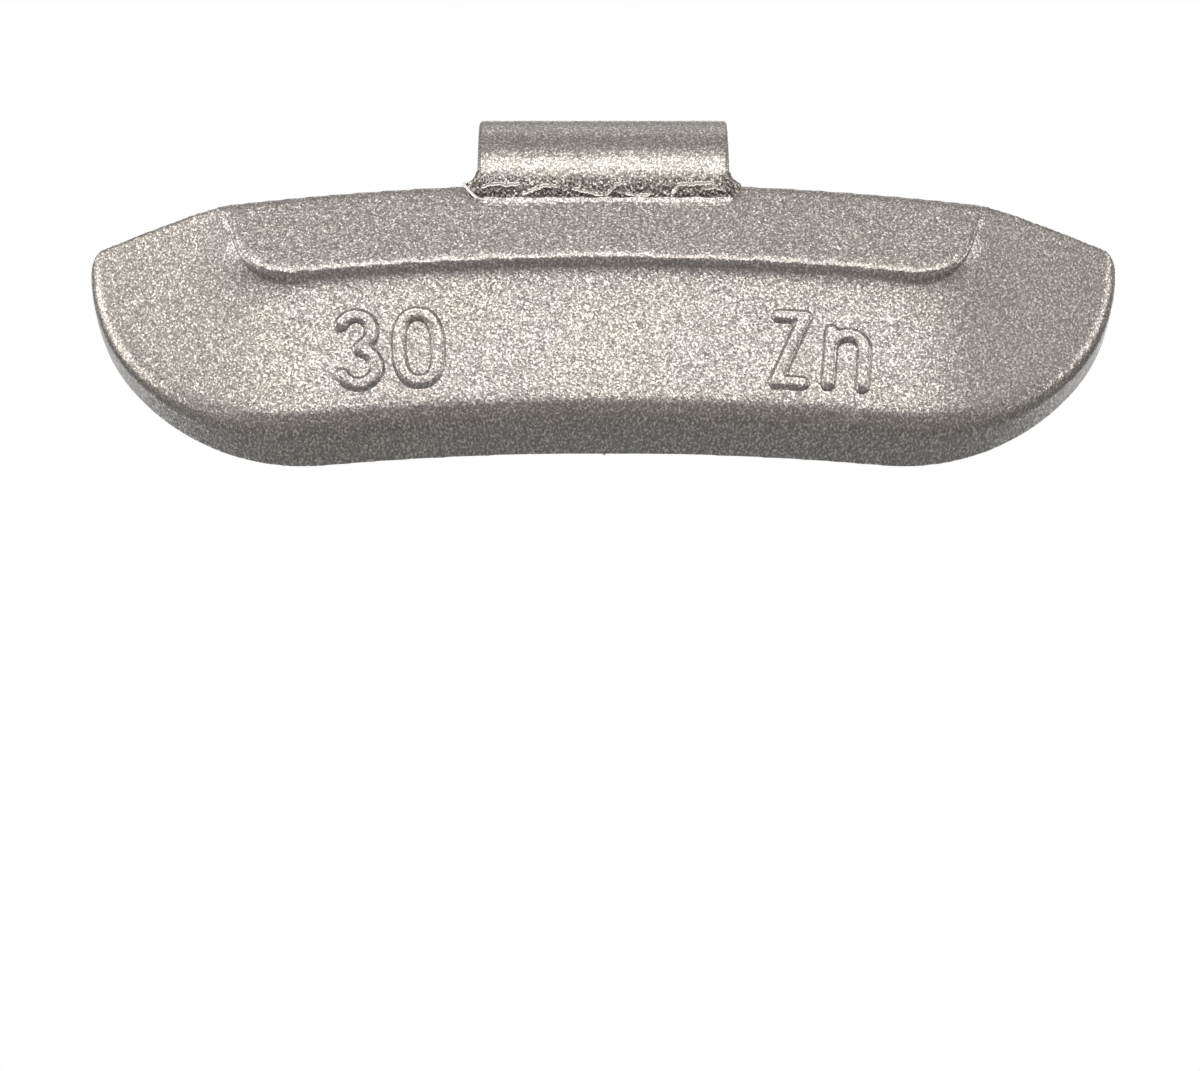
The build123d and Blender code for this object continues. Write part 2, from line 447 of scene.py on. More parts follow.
@dataclass(frozen=True)
class Ridge:
    """A rounded ridge of metal that follows a path on a carrier.

    Attributes:
        half_width: From the crest line to the foot.
        height: Crest above the carrier.
        crest: Share of the half width that is level.
        root: How far the ridge reaches into the carrier.
        across_points: Points from foot to foot.
        cap_rings: Steps of the turn over a round end.
        skew: How far the crest lies to one side, as a share of the half width.
    """

    half_width: float
    height: float
    crest: float = 0.25
    root: float = 0.15 * MM
    across_points: int = 17
    cap_rings: int = 7
    skew: float = 0.0

    def section(self) -> Array:
        """Section across the ridge: a squared cosine from the level crest to the foot, closed below.

        Returns:
            Closed outline, across and rise, shape (m, 2).
        """
        share = np.linspace(-1.0, 1.0, self.across_points)
        aside = share - self.skew
        reach = np.where(aside > 0.0, 1.0 - self.skew, 1.0 + self.skew)
        fall = np.clip((np.abs(aside) / reach - self.crest) / (1.0 - self.crest), 0.0, 1.0)
        rise = self.height * np.cos(fall * np.pi / 2) ** 2
        top = np.stack([share * self.half_width, rise], -1)
        base = np.array([[self.half_width, -self.root], [-self.half_width, -self.root]])
        return np.concatenate([top, base])

    def build(self, carrier: Carrier, path: Array, closed: bool = False) -> Shell:
        """Sweeps the section along the path, with round ends where the path is open.

        Each ring stands on the carrier: its width runs along normal x tangent and its rise along the
        normal. At an open end the rings go on past it by half_width * sin(t), shrunk by cos(t).

        Args:
            carrier: The surface it stands on.
            path: Crest line in the carrier's coordinates, shape (n, 2).
            closed: Whether the path is a loop.

        Returns:
            Vertices and faces.
        """
        points, normals = carrier.place(path)
        scale = np.ones(len(points))
        if closed:
            tangents = unit(np.roll(points, -1, 0) - np.roll(points, 1, 0))
        else:
            tangents = unit(np.gradient(points, axis=0))
            turn = np.linspace(0.0, np.pi / 2, self.cap_rings + 1)[1:-1]
            reach = (self.half_width * np.sin(turn))[:, None]
            shrink = np.cos(turn)
            before = points[0] - reach[::-1] * tangents[0]
            beyond = points[-1] + reach * tangents[-1]
            points = np.concatenate([before, points, beyond])
            ends = ((len(turn), len(turn)), (0, 0))
            normals = np.pad(normals, ends, "edge")
            tangents = np.pad(tangents, ends, "edge")
            scale = np.concatenate([shrink[::-1], scale, shrink])
        across = np.cross(normals, tangents)
        section = self.section()[None] * scale[:, None, None]
        width = across[:, None] * section[..., :1]
        rise = normals[:, None] * section[..., 1:]
        return tube(points[:, None] + width + rise, closed)


@dataclass(frozen=True)
class Flare:
    """The soft hollow in which a face rises to the wall of a step.

    Attributes:
        reach: From the step's foot out onto the face.
        contact: From the step's foot to where the hollow meets the wall.
        inside: How far it goes on into the wall.
        near: Height and fading length of the hollow at the wall, under a level stretch of the step.
        beside: The same beside an upright stretch.
        far: Height and fading length of the gentle rise before it.
        sunk: How far its outer edge lies below the face.
        root: How far below the face it is closed.
        taper: Length over which it runs out at both ends.
        narrow: Share of its width left at both ends.
        widening: Length over which it gets its whole width.
        across_points: Points from its outer edge to its end in the wall.
        inside_points: How many of them lie in the wall.
        crowding: Power that crowds the others towards the wall.
    """

    reach: float = 5.4 * MM
    contact: float = 0.10 * MM
    inside: float = 0.20 * MM
    near: Point = (0.075 * MM, 0.30 * MM)
    beside: Point = (0.33 * MM, 1.10 * MM)
    far: Point = (0.095 * MM, 3.4 * MM)
    sunk: float = 0.013 * MM
    root: float = 0.30 * MM
    taper: float = 2.8 * MM
    narrow: float = 0.65
    widening: float = 9.0 * MM
    across_points: int = 48
    inside_points: int = 4
    crowding: float = 1.6

    def build(self, carrier: Carrier, path: Array) -> Shell:
        """Grid over the path and the distance w out from the wall.

        The height along the carrier's normal is the sum of falling exponentials of w, each less its
        value at the outer end; the steep one depends on how upright the step is. The grid is closed
        below the face. The path has the face on its right, where w grows.

        Args:
            carrier: The face.
            path: The step's foot in the carrier's coordinates, shape (n, 2).

        Returns:
            Vertices and faces.
        """
        tangents = unit(np.gradient(path, axis=0))
        out = np.stack([tangents[:, 1], -tangents[:, 0]], -1)
        upright = out[:, :1] ** 2
        run = run_along(path)
        from_end = np.minimum(run, run[-1] - run)[:, None]
        share = eased(from_end, self.taper)
        width = self.narrow + (1 - self.narrow) * eased(from_end, self.widening)
        w_end = self.reach + self.contact
        w = w_end * np.linspace(1.0, 0.0, self.across_points - self.inside_points) ** self.crowding
        w = np.concatenate([w, np.linspace(0.0, -self.inside, self.inside_points + 1)[1:]])

        def hollow(height: float, fade: float) -> Array:
            """One falling exponential of w, zero at the outer end."""
            return height * (np.exp(-w / fade) - math.exp(-w_end / fade))

        rise = hollow(*self.near) * (1 - upright) + hollow(*self.beside) * upright + hollow(*self.far)
        top = share * rise - self.sunk
        height = np.concatenate([top, np.full_like(top, -self.root)], 1)
        outward = np.where(w > 0.0, w * width, w)
        offset = np.concatenate([outward, outward[:, ::-1]], 1) - self.contact
        flat = path[:, None] + out[:, None] * offset[:, :, None]
        points, normals = carrier.place(flat.reshape(-1, 2))
        return tube((points + normals * height.reshape(-1, 1)).reshape(len(path), -1, 3))


@dataclass(frozen=True)
class Graph:
    """A node tree to which nodes are added together with their links.

    Attributes:
        tree: The tree.
    """

    tree: bpy.types.NodeTree

    def fill(self, node: bpy.types.Node, inputs: Inputs) -> None:
        """Sets or links sockets of a node.

        Args:
            node: The node.
            inputs: For each socket, a value or the socket that it is linked from.
        """
        for name, value in inputs.items():
            if isinstance(value, Socket):
                self.tree.links.new(value, node.inputs[name])
            else:
                node.inputs[name].default_value = value

    def node(self, kind: str, inputs: Inputs | None = None, **choices: str) -> bpy.types.Node:
        """Adds a node.

        Args:
            kind: Its type.
            inputs: For each socket, a value or the socket that it is linked from.
            **choices: Its settings, such as the operation.

        Returns:
            The node.
        """
        node = self.tree.nodes.new(kind)
        for name, choice in choices.items():
            setattr(node, name, choice)
        self.fill(node, inputs or {})
        return node

    def calculated(self, operation: str, first: Socket, second: Socket | float) -> Socket:
        """Result of a calculation with two values."""
        return self.node("ShaderNodeMath", {0: first, 1: second}, operation=operation).outputs["Value"]

    def ranged(self, value: Socket, source: Point, target: Point,
               interpolation: str = "LINEAR") -> Socket:
        """Carries a value from one range to another.

        Args:
            value: The value.
            source: Its range.
            target: The range of the result.
            interpolation: How it moves between the ends.

        Returns:
            The result.
        """
        node = self.node("ShaderNodeMapRange", {
            "Value": value,
            "From Min": source[0],
            "From Max": source[1],
            "To Min": target[0],
            "To Max": target[1],
        }, interpolation_type=interpolation)
        return node.outputs["Result"]

    def mixed(self, factor: Socket | float, first: Socket | Colour, second: Socket | Colour,
              blend: str = "MIX") -> Socket:
        """Mixes two colours.

        Args:
            factor: Share of the second.
            first: The first colour.
            second: The second colour.
            blend: How the second is laid over the first.

        Returns:
            The mixed colour.
        """
        node = self.node("ShaderNodeMix", data_type="RGBA", blend_type=blend)
        first, second = ((*c, 1.0) if isinstance(c, tuple) else c for c in (first, second))
        self.fill(node, {"Factor": factor, "A": first, "B": second})
        return node.outputs["Result"]

    def ramp(self, value: Socket, places: tuple[float, ...], colours: tuple[Colour, ...]) -> Socket:
        """Looks a value up on a row of colours.

        Args:
            value: The value.
            places: Where the colours stand, from the first to the last.
            colours: The colours.

        Returns:
            The colour at the value.
        """
        node = self.node("ShaderNodeValToRGB", {"Fac": value})
        elements = node.color_ramp.elements
        elements[0].position, elements[1].position = places[0], places[-1]
        elements[0].color, elements[1].color = (*colours[0], 1.0), (*colours[-1], 1.0)
        for place, colour in zip(places[1:-1], colours[1:-1]):
            elements.new(place).color = (*colour, 1.0)
        return node.outputs["Color"]


@dataclass(frozen=True)
class SparkleCoat:
    """Silver metallic coat: fine flakes, a little askew in a grey lacquer, uneven over millimetres.

    Attributes:
        dark: Colour between the flakes.
        middle: Colour of most of the coat.
        bright: Colour of the brightest flakes.
        tones: Values of the grain at which these three stand.
        warm: Tint of the warmer patches.
        cool: Tint of the cooler patches.
        tints: Values of the patches at which the cool and the warm tint stand.
        metallic: How metallic it is.
        roughness: Least and greatest roughness.
        gloss: Values of the grain at which the greatest and the least roughness stand.
        flake: Size of a flake.
        askew: How far the flakes tilt, as a share of the normal.
        grain: Size of a cluster of flakes.
        grain_rise: Height of the grain.
        unevenness: Size of the soft waves left by the casting.
        wave_rise: Height of those waves.
        patch: Size of the warmer and cooler patches.
        turn: Turn of the patterns against the weight's axes.
        drag: Scale of the grain along Y on the underside, where the casting slid out of its mould.
        underside: Heights of the normal at which the drag begins and is complete.
        grain_detail: Finer layers in the grain.
        wave_detail: Finer layers in the waves.
        patch_detail: Finer layers in the patches.
        layer_share: Strength of each finer layer.
    """

    dark: Colour = (0.30, 0.295, 0.29)
    middle: Colour = (0.45, 0.440, 0.426)
    bright: Colour = (1.0, 0.975, 0.935)
    tones: tuple[float, float, float] = (0.35, 0.52, 0.67)
    warm: Colour = (1.0, 0.985, 0.96)
    cool: Colour = (0.985, 0.97, 0.975)
    tints: Point = (0.40, 0.60)
    metallic: float = 0.9
    roughness: Point = (0.27, 0.40)
    gloss: Point = (0.3, 0.7)
    flake: float = 0.105 * MM
    askew: float = 0.17
    grain: float = 0.125 * MM
    grain_rise: float = 0.012 * MM
    unevenness: float = 1.6 * MM
    wave_rise: float = 0.02 * MM
    patch: float = 6.0 * MM
    turn: tuple[float, float, float] = (0.41, 0.67, 0.93)
    drag: float = 0.26
    underside: Point = (-0.5, -0.9)
    grain_detail: float = 1.5
    wave_detail: float = 2.0
    patch_detail: float = 1.0
    layer_share: float = 0.6

    def turned(self, graph: Graph, along_y: float = 1.0) -> Socket:
        """Object coordinates, turned, with this scale along Y.

        Args:
            graph: The coat's nodes.
            along_y: The scale.

        Returns:
            The coordinates.
        """
        own_place = graph.node("ShaderNodeTexCoord").outputs["Object"]
        inputs = {"Vector": own_place, "Rotation": self.turn, "Scale": (1.0, along_y, 1.0)}
        return graph.node("ShaderNodeMapping", inputs).outputs["Vector"]

    def noise(self, graph: Graph, place: Socket, size: float, detail: float) -> Socket:
        """Noise whose features have this size."""
        inputs = {"Vector": place, "Scale": 1.0 / size, "Detail": detail, "Roughness": self.layer_share}
        return graph.node("ShaderNodeTexNoise", inputs).outputs["Fac"]

    def clusters(self, graph: Graph, place: Socket, normal: Socket) -> Socket:
        """Noise of the grain's size, drawn out along Y where the normal points down.

        Args:
            graph: The coat's nodes.
            place: The turned coordinates.
            normal: The surface's normal.

        Returns:
            The grain, about 0 to 1.
        """
        facing = graph.node("ShaderNodeSeparateXYZ", {"Vector": normal}).outputs["Z"]
        under = graph.ranged(facing, self.underside, (0.0, 1.0), "SMOOTHSTEP")
        plain = self.noise(graph, place, self.grain, self.grain_detail)
        drawn = self.noise(graph, self.turned(graph, self.drag), self.grain, self.grain_detail)
        return graph.node("ShaderNodeMix", {"Factor": under, "A": plain, "B": drawn}).outputs["Result"]

    def flakes(self, graph: Graph, place: Socket, normal: Socket) -> Socket:
        """Normal that tilts another way in each cell of a Voronoi pattern.

        Args:
            graph: The coat's nodes.
            place: The turned coordinates.
            normal: The surface's normal.

        Returns:
            The tilted normal.
        """
        cells = graph.node("ShaderNodeTexVoronoi", {"Vector": place, "Scale": 1.0 / self.flake})
        inputs = {0: cells.outputs["Color"], 1: (0.5, 0.5, 0.5)}
        centred = graph.node("ShaderNodeVectorMath", inputs, operation="SUBTRACT")
        inputs = {0: centred.outputs["Vector"], 1: (self.askew, self.askew, self.askew), 2: normal}
        tilt = graph.node("ShaderNodeVectorMath", inputs, operation="MULTIPLY_ADD")
        inputs = {0: tilt.outputs["Vector"]}
        return graph.node("ShaderNodeVectorMath", inputs, operation="NORMALIZE").outputs["Vector"]

    def bumped(self, graph: Graph, height: Socket, rise: float, normal: Socket) -> Socket:
        """Normal of a relief of this rise."""
        inputs = {"Strength": 1.0, "Distance": rise, "Height": height, "Normal": normal}
        return graph.node("ShaderNodeBump", inputs).outputs["Normal"]

    def material(self, name: str) -> bpy.types.Material:
        """Node material on Object coordinates.

        The grain drives colour, roughness and height, the flakes tilt the normal, and wide noises add
        the waves and the tinted patches.

        Args:
            name: Name of the material.

        Returns:
            The material.
        """
        material = bpy.data.materials.new(name)
        material.use_nodes = True
        graph = Graph(material.node_tree)
        normal = graph.node("ShaderNodeNewGeometry").outputs["Normal"]
        place = self.turned(graph)
        grain = self.clusters(graph, place, normal)
        tone = graph.ramp(grain, self.tones, (self.dark, self.middle, self.bright))
        patches = self.noise(graph, place, self.patch, self.patch_detail)
        tint = graph.ramp(patches, self.tints, (self.cool, self.warm))
        waves = self.noise(graph, place, self.unevenness, self.wave_detail)
        waved = self.bumped(graph, waves, self.wave_rise, self.flakes(graph, place, normal))
        graph.fill(material.node_tree.nodes["Principled BSDF"], {
            "Base Color": graph.mixed(1.0, tone, tint, "MULTIPLY"),
            "Metallic": self.metallic,
            "Roughness": graph.ranged(grain, self.gloss, self.roughness[::-1]),
            "Normal": self.bumped(graph, grain, self.grain_rise, waved),
        })
        return material


SMOOTH_COAT = SparkleCoat()
# Coat of the zinc creep: its darker tones are painted shade of the recess where the strip leaves the
# zinc; the coarser, rougher grain is the creep's own.
ROUGH_CREEP_PAINTED_SHADE = SparkleCoat(
    dark=(0.10, 0.097, 0.094),
    middle=(0.31, 0.30, 0.288),
    bright=(0.95, 0.92, 0.86),
    roughness=(0.38, 0.56),
    grain_rise=0.025 * MM,
)
# Lighter coat of the flash flakes and the notch's raised edge: a painted highlight on thin edges that
# face the key light.
FLASH_PAINTED_HIGHLIGHT = SparkleCoat(dark=(0.70, 0.685, 0.66), middle=(0.92, 0.90, 0.865))


@dataclass(frozen=True)
class SoftSkin:
    """Rounds a solid as coating and casting do: a fine voxel skin, then a few rounds of smoothing.

    Attributes:
        voxel: Size of the skin's cells.
        rounds: Rounds of smoothing in every direction.
        relief_rounds: Further rounds in depth only, which soften the relief and keep the outline.
        side_rounds: Further rounds across only, which round the edges of the sides.
        kept: Share of the skin's triangles that is kept.
        strength: Strength of each round.
        weld: Distance within which the facets' corners are joined first.
    """

    voxel: float
    rounds: int
    relief_rounds: int = 0
    side_rounds: int = 0
    kept: float = 1.0
    strength: float = 0.5
    weld: float = 0.001 * MM

    def smooth(self, piece: bpy.types.Object, name: str, rounds: int, way: Way) -> None:
        """Adds rounds of smoothing, if there are any.

        Args:
            piece: The piece.
            name: Name of the modifier.
            rounds: How many.
            way: Their direction.
        """
        if not rounds:
            return
        smooth = piece.modifiers.new(name, "SMOOTH")
        smooth.factor = self.strength
        smooth.iterations = rounds
        smooth.use_x, smooth.use_y, smooth.use_z = way.value

    def put_on(self, piece: bpy.types.Object) -> None:
        """Adds the live modifiers; the piece's own mesh stays as it is.

        Args:
            piece: The piece.
        """
        weld = piece.modifiers.new("closed_facets", "WELD")
        weld.merge_threshold = self.weld
        skin = piece.modifiers.new("fine_skin", "REMESH")
        skin.mode = "VOXEL"
        skin.voxel_size = self.voxel
        skin.use_smooth_shade = True
        self.smooth(piece, "soft_edges", self.rounds, Way.ALL)
        self.smooth(piece, "soft_relief", self.relief_rounds, Way.DEPTH)
        self.smooth(piece, "soft_sides", self.side_rounds, Way.ACROSS)
        if self.kept < 1.0:
            thinned = piece.modifiers.new("thinned", "DECIMATE")
            thinned.ratio = self.kept


@dataclass(frozen=True)
class CastMarks:
    """The raised marks: the weight in grams on the left, the metal's symbol on the right.

    Places are in millimetres, and the signs' own sizes in millimetres about their middle.

    Attributes:
        face: The face that they stand on.
        wheel_z: Height of the wheel's axis, about which they stand.
        stroke: Ridge of a stroke.
        skin: Joins and rounds the strokes.
        three_at: Middle of the three.
        zero_at: Middle of the zero.
        z_at: Middle of the Z.
        n_at: Middle of the n.
        cusp: Where the bowls of the three meet.
        upper_bowl: Centre and radii of its upper bowl.
        upper_span: First and last angle of that bowl, in degrees.
        lower_bowl: Centre and radii of its lower bowl.
        lower_span: First and last angle of that bowl, in degrees.
        zero_half: Half width and half height of the zero.
        zero_power: Power of its superellipse.
        z_half: Half width and half height of the Z.
        n_half: Half width and half height of the n.
        n_spring: Height at which its arch begins.
        n_rise: Rise of its arch.
    """

    face: OuterFace
    wheel_z: float
    stroke: Ridge = Ridge(0.49 * MM, 0.27 * MM, 0.50)
    skin: SoftSkin = SoftSkin(0.075 * MM, 3)
    three_at: Point = (-13.97, -11.14)
    zero_at: Point = (-10.57, -11.00)
    z_at: Point = (10.68, -11.12)
    n_at: Point = (13.90, -11.68)
    cusp: Point = (0.06, 0.06)
    upper_bowl: tuple[Point, Point] = ((-0.10, 1.12), (0.92, 0.93))
    upper_span: Point = (150.0, -55.0)
    lower_bowl: tuple[Point, Point] = ((-0.08, -1.05), (1.04, 1.00))
    lower_span: Point = (55.0, -158.0)
    zero_half: Point = (1.12, 2.02)
    zero_power: float = 2.5
    z_half: Point = (0.74, 1.97)
    n_half: Point = (0.98, 1.55)
    n_spring: float = 0.52
    n_rise: float = 0.92

    def three(self) -> list[Stroke]:
        """Two bowls, the lower one larger, that meet in a cusp.

        Returns:
            Its strokes, each with whether it is a loop.
        """
        upper = arc(*self.upper_bowl, self.upper_span)
        lower = arc(*self.lower_bowl, self.lower_span)
        return [
            (np.concatenate([upper, line(tuple(upper[-1]), self.cusp, 10)[1:]]), False),
            (np.concatenate([line(self.cusp, tuple(lower[0]), 10)[:-1], lower]), False),
        ]

    def zero(self) -> list[Stroke]:
        """One superellipse loop, |x/a|^p + |z/b|^p = 1.

        Returns:
            Its stroke, with whether it is a loop.
        """
        angle = np.linspace(0.0, 2 * np.pi, 120, endpoint=False)
        circle = np.stack([np.cos(angle), np.sin(angle)], -1)
        loop = np.array(self.zero_half) * np.sign(circle) * np.abs(circle) ** (2 / self.zero_power)
        return [(loop, True)]

    def letter_z(self) -> list[Stroke]:
        """Two bars and the diagonal.

        Returns:
            Its strokes, each with whether it is a loop.
        """
        x, z = self.z_half
        top = line((-x, z), (x, z))
        diagonal = line((x, z), (-x, -z), 48)
        foot = line((-x, -z), (x, -z))
        return [(top, False), (diagonal, False), (foot, False)]

    def letter_n(self) -> list[Stroke]:
        """A stem, and an arch that ends in the second leg.

        Returns:
            Its strokes, each with whether it is a loop.
        """
        x, z = self.n_half
        stem = line((-x, z), (-x, -z))
        arch = arc((0.0, self.n_spring), (x, self.n_rise), (180.0, 0.0))
        leg = line((x, self.n_spring), (x, -z))
        return [(stem, False), (np.concatenate([arch, leg[1:]]), False)]

    def raised(self, strokes: list[Stroke], at: Point) -> list[Shell]:
        """Raises a sign on the face, turned to stand on the arc about the wheel.

        Args:
            strokes: Its strokes about its middle, in millimetres.
            at: Its middle, in millimetres.

        Returns:
            A shell for each stroke.
        """
        turn = -math.atan2(at[0] * MM, at[1] * MM - self.wheel_z)
        spin = np.array([[math.cos(turn), math.sin(turn)], [-math.sin(turn), math.cos(turn)]])
        placed = [((path @ spin + np.array(at)) * MM, closed) for path, closed in strokes]
        return [self.stroke.build(self.face, path, closed) for path, closed in placed]

    def build(self, coat: bpy.types.Material) -> None:
        """Makes both marks.

        Args:
            coat: Their material.
        """
        grams = self.raised(self.three(), self.three_at) + self.raised(self.zero(), self.zero_at)
        metal = self.raised(self.letter_z(), self.z_at) + self.raised(self.letter_n(), self.n_at)
        for name, shells in (("cast_mark_grams", grams), ("cast_mark_metal", metal)):
            self.skin.put_on(finish_piece(name, joined(shells), coat))


@dataclass
class ZincCasting:
    """The zinc body with its raised marks, the hollow round its step and the traces of its mould.

    Attributes:
        node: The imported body.
        coat: Its material.
        outer_y: Depth of the outer face's flat middle.
        wheel_z: Height of the wheel's axis.
        skin: Rounds the body.
        flare: Hollow round the step of the raised panel.
        step_radius: Radius of the step's lower edge about the wheel's axis.
        step_half: Half width of that edge.
        step_corner: Centre of the step's corner.
        corner_radius: Its radius.
        corner_span: Its first and last angle, in degrees.
        step_end: Upper end of the step's side.
        back: The middle of the back.
        mould_line: Ridge of the flash on the back.
        line_span: First and last length of the upright line, down from the crown.
        level_span: Ends of the level mark, across.
        level_down: Its length down from the crown.
        wander: How far both stray.
    """

    node: bpy.types.Object
    coat: bpy.types.Material
    outer_y: float = -5.3 * MM
    wheel_z: float = -180.37 * MM
    skin: SoftSkin = SoftSkin(0.122 * MM, 24, 22, kept=0.48)
    flare: Flare = Flare()
    step_radius: float = 174.15 * MM
    step_half: float = 17.53 * MM
    step_corner: Point = (17.93 * MM, -3.62 * MM)
    corner_radius: float = 3.5 * MM
    corner_span: Point = (-96.5, -17.1)
    step_end: Point = (21.93 * MM, -2.55 * MM)
    back: BackSection = BackSection()
    mould_line: Ridge = Ridge(0.10 * MM, 0.07 * MM, 0.1, 0.12 * MM, 9, 4)
    line_span: Point = (1.2 * MM, 16.85 * MM)
    level_span: Point = (-1.9 * MM, 2.1 * MM)
    level_down: float = 2.0 * MM
    wander: float = 0.05 * MM

    def dress(self) -> None:
        """Gives the cast body its coat and its soft edges."""
        coat_node(self.node, self.coat)
        self.skin.put_on(self.node)

    def marks(self) -> None:
        """Raises both marks on the outer face."""
        CastMarks(OuterFace(self.outer_y), self.wheel_z).build(self.coat)

    def step_path(self) -> Array:
        """Foot of the raised panel's step: a side, a corner, the arc about the wheel, and back up.

        Returns:
            Across and up, from the left end to the right, shape (n, 2).
        """
        x = np.linspace(0.0, self.step_half, 90)
        low = np.stack([x, self.wheel_z + np.sqrt(self.step_radius ** 2 - x ** 2)], -1)
        corner = arc(self.step_corner, (self.corner_radius, self.corner_radius), self.corner_span, 40)
        side = line(tuple(corner[-1]), self.step_end)
        half = np.concatenate([low, corner[1:], side[1:]])
        return np.concatenate([half[:0:-1] * [-1.0, 1.0], half])

    def step_hollow(self) -> None:
        """Makes the soft hollow in which the outer face rises to the step of the raised panel."""
        shell = self.flare.build(SlopedFace(self.outer_y), self.step_path())
        finish_piece("step_flare", shell, self.coat)

    def back_traces(self) -> None:
        """Makes the flash on the back: the upright mould line and a short level mark under the flap."""
        down = np.linspace(*self.line_span, 160)
        aside = self.wander * ripple(down[:, None] / MM, (1.1, 3.7), 5)
        upright = self.mould_line.build(self.back, np.stack([aside, down], -1))
        across = np.linspace(*self.level_span, 40)
        height = self.level_down + self.wander * ripple(across[:, None] / MM, (0.7, 1.9), 6)
        level = self.mould_line.build(self.back, np.stack([across, height], -1))
        finish_piece("mould_line", joined([upright, level]), self.coat)


@dataclass(frozen=True)
class MouthLip:
    """Rounded lip along the front of the opening in which the strip sits.

    Attributes:
        corner: Corner (y, z) of the casting's front where it opens for the strip.
        lean: Lean of the casting's front there, in degrees.
        reach: How far down the front it begins.
        bend: How far down the front it leaves the lean.
        upright: Lower and upper end of its upright part, below the corner.
        top_radius: Rounding of its top.
        inside: Its hidden corners (y, z) in the opening.
        span: Its two ends, across.
        taper: Length over which it is set back at both ends.
        back: How far it is set back all along.
        end_back: How much further at both ends.
        depth_ripple: Unevenness in depth.
        height_ripple: Unevenness in height.
    """

    corner: Point = (-4.565 * MM, -1.67 * MM)
    lean: float = 17.5
    reach: float = 0.66 * MM
    bend: float = 0.34 * MM
    upright: Point = (-0.22 * MM, -0.08 * MM)
    top_radius: float = 0.10 * MM
    inside: tuple[Point, ...] = (
        (0.30 * MM, -0.02 * MM),
        (0.30 * MM, -0.40 * MM),
        (0.05 * MM, -0.80 * MM),
    )
    span: Point = (-7.25 * MM, 7.55 * MM)
    taper: float = 0.5 * MM
    back: float = 0.02 * MM
    end_back: float = 0.10 * MM
    depth_ripple: float = 0.012 * MM
    height_ripple: float = 0.03 * MM

    def profile(self) -> Array:
        """Profile about the corner.

        It leaves the leaning front along a Bezier curve, goes upright, and turns over a quarter circle
        into the opening.

        Returns:
            Closed outline in y and z, shape (n, 2).
        """
        lean = math.radians(self.lean)
        down = np.array([-math.sin(lean), -math.cos(lean)])
        front = -self.bend * math.sin(lean)
        low, high = self.upright
        share = np.linspace(0.0, 1.0, 9)[:, None]
        rest = 1 - share
        knots = [self.reach * down, self.bend * down, np.array([front, low]), np.array([front, high])]
        weights = [rest ** 3, 3 * share * rest ** 2, 3 * share ** 2 * rest, share ** 3]
        rise = sum(weight * knot for weight, knot in zip(weights, knots))
        over = arc((front + self.top_radius, high), (self.top_radius, self.top_radius), (180.0, 90.0), 7)
        return np.concatenate([rise, over[1:], np.array(self.inside)])

    def shell(self) -> Shell:
        """Carries the profile along X, uneven by ripples and set back at both ends.

        Returns:
            Vertices and faces.
        """
        profile = self.profile() + np.array(self.corner)
        across = np.linspace(*self.span, 260)[:, None]
        taper = np.clip(np.minimum(across - across[0], across[-1] - across) / self.taper, 0.0, 1.0)
        uneven = ripple(across / MM, (0.35, 0.8, 2.3), 11)[:, None]
        y = profile[:, 0] + self.back - self.depth_ripple * uneven + self.end_back * (1 - taper)
        z = profile[:, 1] + self.height_ripple * ripple(across / MM, (0.5, 1.7), 12)[:, None]
        return tube(np.stack([np.broadcast_to(across, y.shape), y, z], -1))


